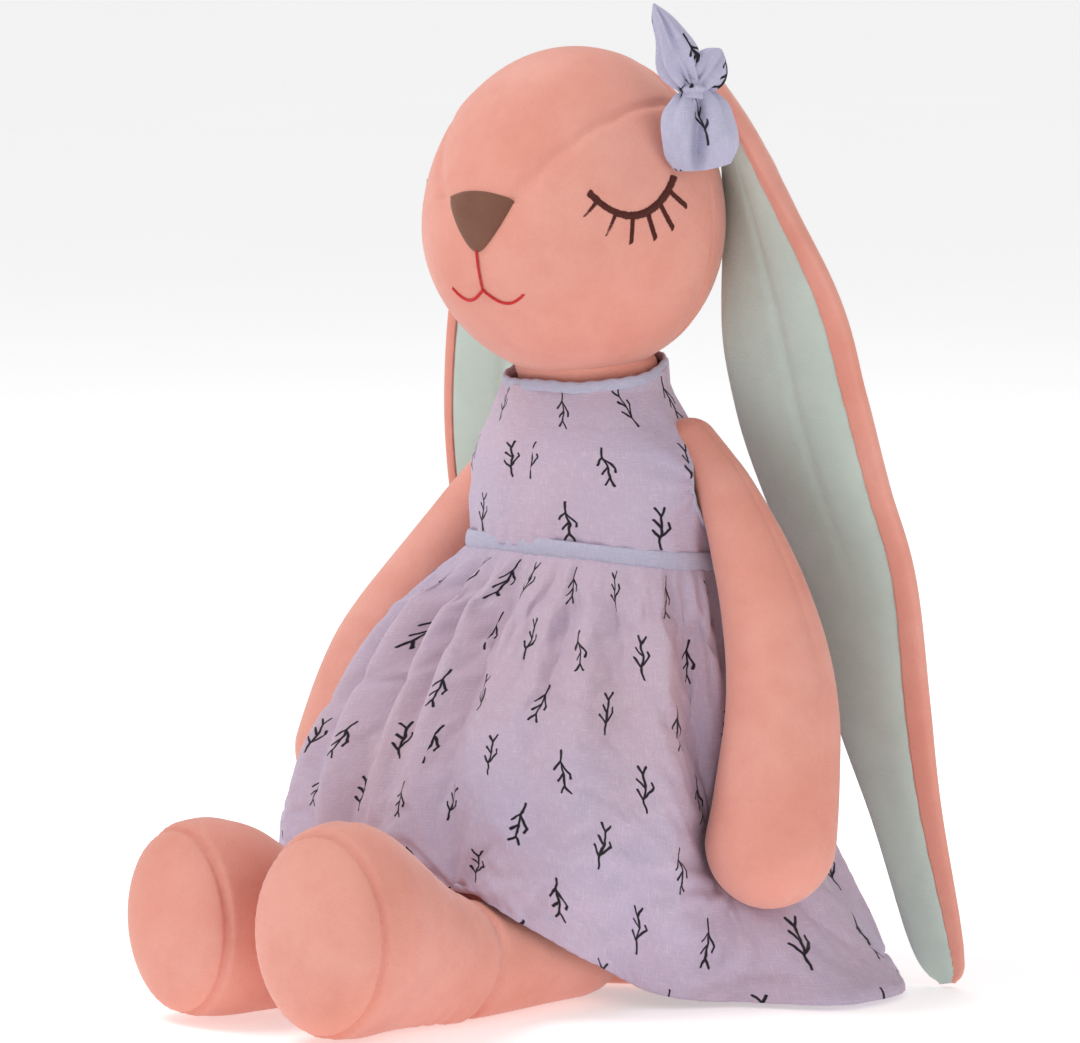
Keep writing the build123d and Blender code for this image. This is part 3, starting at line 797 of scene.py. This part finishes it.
def leg_rings(word):
    """The leg's rings from its domed hip end to the sole, how far in front of the hip each of their
    points is, and each ring's half width."""
    stations = np.array(LEG, float)
    stations[FOOT_STATION:, [1, 3]] *= FOOT_SCALE[word]
    rows = smooth(stations, 150) * MM
    back_angle = np.linspace(math.radians(84), 0.1, 8)
    radius = rows[0, 2]
    dome = np.stack([
        radius * np.sin(back_angle), np.full(8, rows[0, 1]),
        radius * np.cos(back_angle), radius * np.cos(back_angle),
    ], axis=1)
    rows = np.vstack([dome, rows])
    level = np.stack([0 * rows[:, 0] + HIP[0], HIP[1] + rows[:, 0], 0 * rows[:, 0] + HIP[2]], axis=1)
    rings = tube(level, np.tile([1.0, 0, 0], (len(rows), 1)), rows[:, 2], rows[:, 3], LEG_COLUMNS)
    rings[..., 2] += (rows[:, 1] - HIP[2])[:, None]
    forward = -(rings[..., 1] - HIP[1])
    ankle, toe = FOOT_BEND
    bend = np.clip((forward - ankle) / (toe - ankle), 0, 1)
    turn = np.radians(FOOT_TURN_OUT[word]) * bend**2 * (3 - 2 * bend)
    rings = turn_about(rings, (HIP[0], HIP[1] - ankle - 18 * MM), turn)
    return rings, forward, rows[:, 2]


def leg_relief(rings, forward):
    """How far the plush stands out or in: its seams, the ankle's crease and puckers at the sole."""
    angle = around(LEG_COLUMNS)
    top_seam = hump(np.sin((angle - math.pi / 2) / 2) * 2 * 18, 1.4) * 0.6 * MM
    under_seam = hump(np.sin((angle + math.pi / 2) / 2) * 2 * 18, 1.4) * 0.6 * MM
    sole_forward = -LEG[SOLE_STATION][0] * MM
    sole_groove = hump(forward - sole_forward, 1.2 * MM) * 1.9 * MM
    before_sole = np.clip((sole_forward - forward) / (4 * MM), 0, 1)
    bent = forward + 2.5 * MM * np.sin(angle * 2 + 0.6)[None]
    crease = -1.5 * MM * hump(bent - ANKLE_CREASE, 1.5 * MM)
    roll = 0.8 * MM * hump(bent - ANKLE_CREASE - 6 * MM, 4 * MM)
    waves = 0.2 * MM * np.sin(bent / (6 * MM) * 2 * math.pi) * hump(bent - 58 * MM, 12 * MM)
    pucker = np.sin(angle * 46)[None] * hump(forward - sole_forward, 3.5 * MM) * 0.16 * MM
    lift = ripple(rings, 62, 31) * 0.7 * MM + (crease + roll + waves) + pucker - sole_groove
    return lift - (top_seam + under_seam)[None] * before_sole


def make_leg(side, word):
    """A stuffed leg that turns up into a foot, with a domed oval sole sewn to its front."""
    rings, forward, half_width = leg_rings(word)
    outward = unit(rings - rings.mean(axis=1, keepdims=True))
    lift = leg_relief(rings, forward) * np.clip(half_width / (7 * MM), 0, 1)[:, None]
    rings = rings + outward * lift[..., None]
    rings[..., 2] = np.maximum(rings[..., 2], ABOVE_FLOOR)
    rings = turn_about(rings, HIP, math.radians(LEG_SPLAY[word]))
    if side < 0:
        rings = (rings * [-1, 1, 1])[:, ::-1]
    leg = grid_piece(f"leg_{word}", rings, [PEACH], wrap=True, caps=True)
    parts = ("leg_inner_panel", "leg_outer_panel", "leg_stuffing", "foot_sole")
    return place(leg, f"{word}_leg", "peach_velour", *[f"{part}_{word}" for part in parts])


# ---- trunk and dress ----------------------------------------------------------------
# height, half width, half depth and the middle's y
TRUNK = [
    (0.6, 30, 25, 8),
    (3, 34, 29, 8),
    (14, 39, 33, 8),
    (60, 41, 35, 7),
    (110, 40, 34, 5),
    (140, 37, 31, 3),
    (165, 33, 26.5, 0),
    (180, 26, 22.5, -3),
    (190, 22.5, 21.5, -5.5),
    (198, 23, 22.5, -7),
    (203, 20, 20, -9),
]


def trunk_rows(heights):
    """Half width, half depth and middle at each height, in metres."""
    table = np.array(TRUNK) * MM
    return [np.interp(heights, table[:, 0], table[:, k]) for k in (1, 2, 3)]


def round_trunk(heights, angles, growth):
    """Points round the trunk. Angle 0 is the front and goes towards its left."""
    half_width, half_depth, middle = trunk_rows(heights)
    x = (half_width + growth) * np.sin(angles)
    y = middle - (half_depth + growth) * np.cos(angles)
    return np.stack([x, y, heights + 0 * x], axis=-1)


def make_trunk():
    rows = smooth(np.array(TRUNK) * MM, 90)
    centres = np.stack([0 * rows[:, 0], rows[:, 3], rows[:, 0]], axis=1)
    points = tube(centres * [0, 0, 1], np.tile([1.0, 0, 0], (90, 1)), rows[:, 1], rows[:, 2], 96)
    points[..., 1] += rows[:, 3][:, None]
    points = points + unit(points - centres[:, None]) * (ripple(points, 70, 41) * 0.5 * MM)[..., None]
    points[..., 2] = np.maximum(points[..., 2], ABOVE_FLOOR)
    trunk = grid_piece("trunk", points, [PEACH], wrap=True, caps=True)
    return place(
        trunk, "trunk", "peach_velour",
        "body_front_panel", "body_back_panel", "body_seat_panel", "body_stuffing",
    )


WAIST_Z = 136.5 * MM
WAIST_TILT = 4.5 * MM       # the waist is this much higher in front and lower behind
NECK_FRONT_Z = 191.2 * MM
NECK_RISE = 7.6 * MM        # how much higher the neckline is behind
ARMHOLE_Z = 160.5 * MM
ARMHOLE_HALF = (10.5 * MM, 13.5 * MM)


def looseness(angles):
    """How far the dress stands off the trunk: most at the two front corners."""
    corners = hump(np.abs((angles + math.pi) % (2 * math.pi) - math.pi) - 1.15, 0.65)
    return 1.5 * MM + 6.0 * MM * corners


def waist_height(angles):
    """The middle of the waist band's height at each angle."""
    return WAIST_Z + WAIST_TILT * np.cos(angles)


def neck_height(angles):
    """The neckline dips in front and stands up behind."""
    return NECK_FRONT_Z + NECK_RISE * (0.5 - 0.5 * np.cos(angles)) ** 1.3


def bodice_growth(share, angles):
    """How far the bodice stands off the trunk, without its wrinkles."""
    slack = looseness(angles) * np.clip((1.12 - share) / 0.5, 0.15, 1)
    collar = 0.4 * MM * np.clip((share - 0.8) / 0.2, 0, 1) ** 2
    return 1.6 * MM + 2.2 * MM * np.sin(np.clip(share, 0, 1) * math.pi) ** 0.8 + slack + collar


def armhole_pulls(heights, angles):
    """Creases that fan out from each armhole."""
    pulls = 0
    for hole_side in (-1, 1):
        from_hole = angles - hole_side * math.pi / 2
        from_hole = (from_hole + math.pi) % (2 * math.pi) - math.pi
        fan = np.sin(np.arctan2(heights - ARMHOLE_Z, from_hole * 0.03) * 9) * hump(from_hole, 0.75)
        pulls = pulls + fan * 0.45 * MM
    return pulls


def cut_armholes(points):
    """Moves the points near each armhole's oval onto it, and says which quads to keep outside it."""
    side_y, side_z = points[..., 1] - SHOULDER[1], points[..., 2] - ARMHOLE_Z
    distance = np.hypot(side_y / ARMHOLE_HALF[0], side_z / ARMHOLE_HALF[1])
    on_side = np.abs(points[..., 0]) > 12 * MM
    inside = (distance < 1) & on_side
    after = np.roll(inside, -1, 1)
    rim = inside & (distance > 0.86)
    scale = np.where(rim, 1 / np.maximum(distance, 0.5), 1)
    points[..., 1] = SHOULDER[1] + side_y * scale
    points[..., 2] = ARMHOLE_Z + side_z * scale
    return ~(inside[:-1] & inside[1:] & after[:-1] & after[1:])


def make_bodice():
    rows, columns = 130, 380
    angles = around(columns)
    share = np.linspace(0, 1, rows)[:, None]
    heights = waist_height(angles)[None] * (1 - share) + neck_height(angles)[None] * share
    turned = np.broadcast_to(angles, heights.shape)
    base = round_trunk(heights, turned, 0)
    puff = bodice_growth(share, angles[None])
    gathers = np.sin(angles * 34 + 2 * np.sin(angles * 3))[None] * 0.35 * MM * hump(share, 0.16)
    drag = ripple(base * [1, 1, 0.35], 330, 51) * 0.9 * MM + ripple(base, 110, 52) * 1.1 * MM
    points = round_trunk(heights, turned, puff + gathers + drag + armhole_pulls(heights, turned))
    keep = cut_armholes(points)
    bodice = grid_piece("bodice", points, [PRINTED], wrap=True, keep=keep)
    modify(bodice, "SOLIDIFY", thickness=0.7 * MM, offset=0)
    place(bodice, "trunk", "printed_cotton", "bodice_front", "bodice_back_left", "bodice_back_right")


def make_armhole_binding(side, word):
    """A narrow folded binding round an armhole, where the bodice's surface meets its oval."""
    turn = np.linspace(0, 2 * math.pi, 121)[:-1]
    y = SHOULDER[1] + ARMHOLE_HALF[0] * np.cos(turn)
    z = ARMHOLE_Z + ARMHOLE_HALF[1] * np.sin(turn)
    half_width, half_depth, middle = trunk_rows(z)
    angles = np.full(len(turn), math.pi / 2)
    for _ in range(6):
        height_share = (z - waist_height(angles)) / (neck_height(angles) - waist_height(angles))
        growth = bodice_growth(height_share, angles)
        angles = np.arccos(np.clip((middle - y) / (half_depth + growth), -0.98, 0.98))
    line = np.stack([side * (half_width + growth) * np.sin(angles), y, z], axis=1)
    edge_band(f"armhole_{word}", line, 1.3 * MM, 0.8 * MM, f"armhole_binding_{word}")


def make_neckline():
    angles = np.linspace(0, 2 * math.pi, 181)[:-1]
    growth = bodice_growth(np.ones_like(angles), angles) + 0.2 * MM
    line = round_trunk(neck_height(angles), angles, growth)
    line += ripple(line, 240, 57)[:, None] * [0, 0, 0.5 * MM]
    edge_band("neckline", line, 1.9 * MM, 0.9 * MM, "neck_binding")


def edge_band(name, line, half_height, half_thick, node):
    """A folded strip of plain cotton round a closed edge."""
    closed = np.vstack([line[-1:], line, line[:1]])
    along = unit(closed[2:] - closed[:-2])
    middle = line.mean(axis=0)
    outward = unit(line - middle)
    up = unit(np.cross(along, outward))
    side = np.cross(up, along)
    angle = around(16)
    pinch = 1 + 0.09 * np.sin(np.arange(len(line)) * 0.9)[:, None]
    points = (
        line[:, None]
        + side[:, None] * (np.cos(angle)[None] * half_thick * pinch)[..., None]
        + up[:, None] * (np.sin(angle)[None] * half_height * pinch)[..., None]
    )
    points = np.concatenate([points, points[:1]], axis=0)
    band = grid_piece(name, points, [PLAIN], wrap=True)
    place(band, "trunk", "plain_cotton", node)


def make_waist_band():
    columns = 300
    angles = around(columns)
    share = np.linspace(-1, 1, 15)[:, None]
    bulge = 1.3 * MM * np.sqrt(1 - 0.85 * share**2)
    heights = waist_height(angles)[None] + share * 3.0 * MM
    stitch = 0.25 * MM * np.sin(angles * 150)[None] * (np.abs(share) > 0.8)
    turned = angles[None] + 0 * share
    uneven = ripple(round_trunk(heights, turned, 0), 150, 61) * 0.3 * MM
    growth = 2.4 * MM + looseness(angles)[None] + bulge + uneven
    points = round_trunk(heights, turned, growth + stitch)
    band = grid_piece("waist_ribbon", points, [PLAIN], wrap=True)
    modify(band, "SOLIDIFY", thickness=1.2 * MM, offset=-1)
    place(band, "trunk", "plain_cotton", "waist_band")


# outlines of the skirt seen from above, as x, y, z round from the middle of the front towards
# its left: where it falls over the lap, and its hem, which rises over the legs
LAP = [
    (0, -72, 82), (34, -70, 80), (58, -56, 74), (62, -24, 66), (60, 12, 62), (54, 38, 58), (28, 58, 56),
    (0, 64, 56), (-28, 58, 56), (-54, 38, 58), (-62, 12, 62), (-68, -24, 68), (-64, -60, 76), (-36, -72, 80),
]
HEM = [
    (4, -83, 38.5), (27, -81, 38), (41, -75, 30), (50, -58, 18), (54, -32, 5), (74, -12, 1.5), (99, 6, 1.5),
    (97, 32, 1.5), (76, 56, 1.5), (40, 74, 1.5), (0, 80, 1.5), (-40, 74, 1.5), (-76, 56, 1.5),
    (-97, 30, 1.5), (-102, -2, 3), (-92, -38, 16), (-76, -64, 30), (-52, -77, 37), (-27, -82, 38.5),
]


def by_angle(outline, angles):
    """A closed outline's point at each angle from the front."""
    ring = np.array(outline, float) * MM
    closed = smooth(np.vstack([ring[-2:], ring, ring[:3]]), 1600)
    bearing = np.unwrap(np.arctan2(closed[:, 0], -closed[:, 1]))
    bearing -= 2 * math.pi * round(float(bearing[160] / (2 * math.pi)))
    order = np.argsort(bearing)
    wanted = angles[:, None] + np.array([-2, 0, 2])[None] * math.pi
    inside = (wanted >= bearing.min()) & (wanted <= bearing.max())
    pick = wanted[np.arange(len(angles)), np.argmax(inside, axis=1)]
    return np.stack([np.interp(pick, bearing[order], closed[order, k]) for k in range(3)], axis=1)


# each long fold: bearing in degrees at the waist and at the hem, width in degrees, height in mm
FOLDS = [
    (-72, -66, 7, 4.0), (-58, -52, 6, 5.2), (-46, -38, 6, 6.2), (-32, -24, 6, 6.4), (-18, -12, 5, 4.4),
    (-6, 0, 6, 5.8), (12, 12, 8, 2.6), (24, 22, 6, 3.6), (38, 34, 8, 4.2), (58, 66, 9, 4.5),
    (80, 88, 8, 3.6), (104, 108, 8, 4.4), (128, 130, 9, 4.6), (152, 150, 8, 4.2), (176, 176, 9, 4.6),
    (-160, -158, 8, 4.2), (-138, -134, 8, 4.6), (-114, -110, 8, 4.4), (-92, -88, 8, 4.0),
]
FOLD_GAIN = 1.9         # every fold is this much higher than its row says


def skirt_folds(angles, share):
    """How far the cloth stands out: tight gathers below the waist that open into long folds."""
    gathers = np.sin(angles * 44 + 2.2 * np.sin(angles * 5)) * (0.7 + 0.3 * np.sin(angles * 7))
    total = gathers * 1.1 * MM * hump(share, 0.22) * np.clip(share * 25, 0.2, 1)
    for at_waist, at_hem, width, height in FOLDS:
        bearing = np.radians(at_waist + (at_hem - at_waist) * share)
        away = np.degrees((angles - bearing + math.pi) % (2 * math.pi) - math.pi)
        spread = width * (0.55 + 0.75 * share)
        ridge = hump(away, spread) - 0.45 * hump(away - 1.5 * spread, spread)
        fade = np.clip(share / 0.12, 0, 1) * (1 - 0.35 * share)
        total = total + ridge * height * FOLD_GAIN * MM * fade
    return total - 1.2 * MM * np.clip(share * 3, 0, 1)


def make_skirt(colliders):
    rows, columns = 56, 330
    angles = around(columns)
    share = np.linspace(0, 1, rows)[:, None]
    top = round_trunk(waist_height(angles) - 2 * MM, angles, 2.6 * MM + looseness(angles))
    outward = np.stack([np.sin(angles), -np.cos(angles), 0 * angles], axis=1)
    lap, hem = by_angle(LAP, angles), by_angle(HEM, angles)
    middle = 2 * lap - (top + hem) / 2
    s = share[..., None]
    points = top[None] * (1 - s) ** 2 + 2 * s * (1 - s) * middle[None] + s**2 * hem[None]
    points = points + outward[None] * skirt_folds(angles[None], share)[..., None]
    points[..., 2] = np.maximum(points[..., 2], 1.2 * MM)
    skirt = grid_piece("skirt", points, [PRINTED], wrap=True)
    drape(skirt, rows, columns, colliders)
    modify(skirt, "SUBSURF", levels=1)
    modify(skirt, "SOLIDIFY", thickness=0.7 * MM, offset=0)
    place(skirt, "trunk", "printed_cotton", "skirt_front", "skirt_back")
    return skirt


DRAPE_FRAMES = 14
CLOTH_GROWTH = -0.05        # a negative shrink: the cloth grows and so buckles into folds
HELD_BETWEEN = 0.16         # how firmly the cloth between waist and hem keeps its flare


def drape(cloth, rows, columns, colliders):
    """Lets the cloth buckle and settle over the colliders between its waist and hem, which are held."""
    group = cloth.vertex_groups.new(name="held")
    waist_points, hem_points = list(range(2 * columns)), list(range((rows - 1) * columns, rows * columns))
    group.add(list(range(rows * columns)), HELD_BETWEEN, "REPLACE")
    group.add(waist_points, 1.0, "REPLACE")
    group.add(hem_points, 0.8, "REPLACE")
    for collider in colliders:
        collider.modifiers.new("Collision", "COLLISION")
        collider.collision.thickness_outer = 1.0 * MM
        collider.collision.cloth_friction = 15
    modifier = cloth.modifiers.new("Cloth", "CLOTH")
    settings = modifier.settings
    settings.quality = 6
    settings.mass = 0.1
    settings.tension_stiffness = 20
    settings.compression_stiffness = 20
    settings.shear_stiffness = 8
    settings.bending_stiffness = 0.6
    settings.air_damping = 3
    settings.tension_damping = 10
    settings.shrink_min = CLOTH_GROWTH
    settings.vertex_group_mass = "held"
    settings.effector_weights.gravity = 0.03
    modifier.collision_settings.distance_min = 1.0 * MM
    modifier.collision_settings.use_self_collision = False
    scene = bpy.context.scene
    modifier.point_cache.frame_start = 1
    modifier.point_cache.frame_end = DRAPE_FRAMES
    for number in range(1, DRAPE_FRAMES + 1):
        scene.frame_set(number)
    depsgraph = bpy.context.evaluated_depsgraph_get()
    draped = bpy.data.meshes.new_from_object(cloth.evaluated_get(depsgraph))
    cloth.modifiers.clear()
    cloth.data = draped
    cloth.vertex_groups.clear()
    for collider in colliders:
        collider.modifiers.clear()
    scene.frame_set(1)


# ---- bow ----------------------------------------------------------------------------
KNOT_LOW, KNOT_HIGH = (np.array(corner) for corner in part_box("bow_knot"))
KNOT = (KNOT_LOW + KNOT_HIGH) / 2
BOW_ACROSS = np.array([0.6, 0.8, 0])
BOW_OUT = np.array([0.8, -0.6, 0])


# each petal's name, CAD node, tip from the knot (across, up and out), half widths from the knot to its
# end, thickness, seed, and how deep a fold runs down its front, all in millimetres
BOW_PETALS = [
    ("bow_upper", "bow_upper_loop", (-12.6, 27, 2), (2.8, 5.6, 6.4, 5.4, 3.6, 0.3), 7, 71, 2.2),
    ("bow_end", "bow_tail", (9, 12.5, -1), (2.6, 4.8, 6.2, 5.2, 0.6), 3.8, 72, 1.2),
    ("bow_lower", "bow_lower_loop", (3, -24, 2), (4.6, 9.8, 11.6, 12.2, 11.6, 8.6), 12, 73, 7.5),
]


def bow_petal(name, node, tip, widths, thick, seed, valley):
    """A folded piece of cotton that runs out from the knot."""
    rows, columns = 70, 110
    tip = np.array(tip) * MM
    direction = BOW_ACROSS * tip[0] + np.array([0, 0, tip[1]]) + BOW_OUT * tip[2]
    length = np.linalg.norm(direction)
    direction = direction / length
    share = np.linspace(0.02, 1, rows)
    bend = np.sin(share * math.pi)[:, None] * 2.0 * MM
    centres = KNOT + direction * (share * length)[:, None] + BOW_OUT * bend
    side = unit(np.cross(BOW_OUT, direction))
    half_width = smooth(np.array(widths, float)[:, None], rows)[:, 0] * MM
    half_thick = (1.7 + (thick / 2 - 1.7) * np.sin(share**0.8 * math.pi * 0.85)) * MM
    half_thick = np.minimum(half_thick, half_width * 0.8)
    points = tube(centres, np.tile(side, (rows, 1)), half_width, half_thick, columns, power=1.6)
    angle = around(columns)
    pleats = np.sin(angle * 9 + 0.6)[None] * hump(share, 0.6)[:, None] * 1.1 * MM
    crease = ripple(points, 330, seed) * 0.9 * MM
    outward = unit(points - centres[:, None])
    fold_place = np.sum((points - centres[:, None]) * side, axis=2) / half_width[:, None]
    front = np.sum((points - centres[:, None]) * BOW_OUT, axis=2) > 0
    fold_line = 0.25 - 0.5 * share[:, None]
    depth = front * np.sin(share * math.pi)[:, None] * valley * MM
    fold = hump(fold_place - fold_line, 0.2) * depth
    fade = np.clip(half_width / (3 * MM), 0, 1)[:, None]
    points = points + outward * ((pleats + crease) * fade)[..., None] - BOW_OUT * fold[..., None]
    petal = grid_piece(name, points, [BOW_PRINT], wrap=True, caps=True)
    modify(petal, "SUBSURF", levels=1)
    place(petal, "head", "printed_cotton", node)


def make_bow():
    for name, node, tip, widths, thick, seed, valley in BOW_PETALS:
        bow_petal(name, node, tip, widths, thick, seed, valley)
    rows, columns = 24, 48
    tilt = np.linspace(-1.5, 1.5, rows)[:, None]
    turn = around(columns)[None]
    band = np.array([4.6, 4.6, 4.2]) * MM
    level = np.cos(tilt)
    points = np.stack([level * np.cos(turn), level * np.sin(turn), np.sin(tilt) + 0 * turn], axis=2)
    wraps = 1 + 0.10 * np.sin(tilt * 9 + np.sin(turn * 2))
    points = KNOT + points * band * wraps[..., None]
    knot = grid_piece("bow_knot_wrap", points, [BOW_PRINT], wrap=True, caps=True)
    place(knot, "head", "printed_cotton", "bow_knot")


# ---- stage --------------------------------------------------------------------------
FLOOR_HALF = 25         # metres


def make_stage():
    corners = np.array([[(-1, -1, 0), (1, -1, 0)], [(-1, 1, 0), (1, 1, 0)]], float)
    floor = grid_piece("floor", corners * FLOOR_HALF, [])
    nodes = Nodes("pale_floor")
    where = nodes.add("TexCoord").outputs["Object"]
    color = nodes.mix(nodes.noise(where, 6, 2), srgb(250, 250, 250), srgb(246, 246, 247))
    floor.data.materials.append(nodes.finish(
        color, Roughness=0.9, Specular_IOR_Level=0.1,
        Emission_Color=(1, 1, 1, 1), Emission_Strength=0.4,
    ))
    return floor


def area_light(name, azimuth, elevation, distance, size, power):
    """A soft square light that faces the doll."""
    data = bpy.data.lights.new(name, "AREA")
    data.size, data.energy = size, power
    light = bpy.data.objects.new(name, data)
    a, e = math.radians(azimuth), math.radians(elevation)
    back = Vector((math.sin(a) * math.cos(e), -math.cos(a) * math.cos(e), math.sin(e)))
    light.location = Vector((0, 0, 0.15)) + back * distance
    light.rotation_euler = (-back).to_track_quat("-Z", "Y").to_euler()
    bpy.context.collection.objects.link(light)


WORLD_STRENGTH = 0.52      # what lights the doll; the camera sees plain white


def make_light():
    world = bpy.data.worlds.new("studio")
    world.use_nodes = True
    tree = world.node_tree
    tree.nodes["Background"].inputs["Color"].default_value = (1, 1, 1, 1)
    strength = tree.nodes.new("ShaderNodeMapRange")
    strength.inputs["To Min"].default_value = WORLD_STRENGTH
    tree.links.new(tree.nodes.new("ShaderNodeLightPath").outputs["Is Camera Ray"], strength.inputs[0])
    tree.links.new(strength.outputs[0], tree.nodes["Background"].inputs["Strength"])
    bpy.context.scene.world = world
    bpy.context.scene.view_settings.view_transform = "Standard"
    area_light("key", -34, 56, 1.5, 0.6, 9.4)
    area_light("fill", 80, 15, 1.6, 1.0, 3.2)
    area_light("rim", 215, 50, 1.5, 1.0, 4)


CAMERA_AZIMUTH = 44
CAMERA_ELEVATION = 7
CAMERA_DISTANCE = 2.5
LENS = 262
AIM = Vector((-0.0137, -0.0132, 0.1458))


def make_camera():
    data = bpy.data.cameras.new("camera")
    data.sensor_width, data.lens = 36, LENS
    data.clip_start, data.clip_end = 0.05, 20
    camera = bpy.data.objects.new("camera", data)
    a, e = math.radians(CAMERA_AZIMUTH), math.radians(CAMERA_ELEVATION)
    back = Vector((math.sin(a) * math.cos(e), -math.cos(a) * math.cos(e), math.sin(e)))
    camera.location = AIM + back * CAMERA_DISTANCE
    camera.rotation_euler = (-back).to_track_quat("-Z", "Y").to_euler()
    bpy.context.collection.objects.link(camera)
    bpy.context.scene.camera = camera


make_camera()
make_light()
floor = make_stage()
make_head()
make_nose()
make_mouth()
make_eye(1, "left_eye")
make_eye(-1, "right_eye")
make_ear(1, "left")
make_ear(-1, "right")
limbs = [make_arm(1, "left"), make_arm(-1, "right"), make_leg(1, "left"), make_leg(-1, "right")]
trunk = make_trunk()
make_bodice()
make_armhole_binding(1, "left")
make_armhole_binding(-1, "right")
make_neckline()
make_waist_band()
make_skirt([floor, trunk, *limbs])
make_bow()
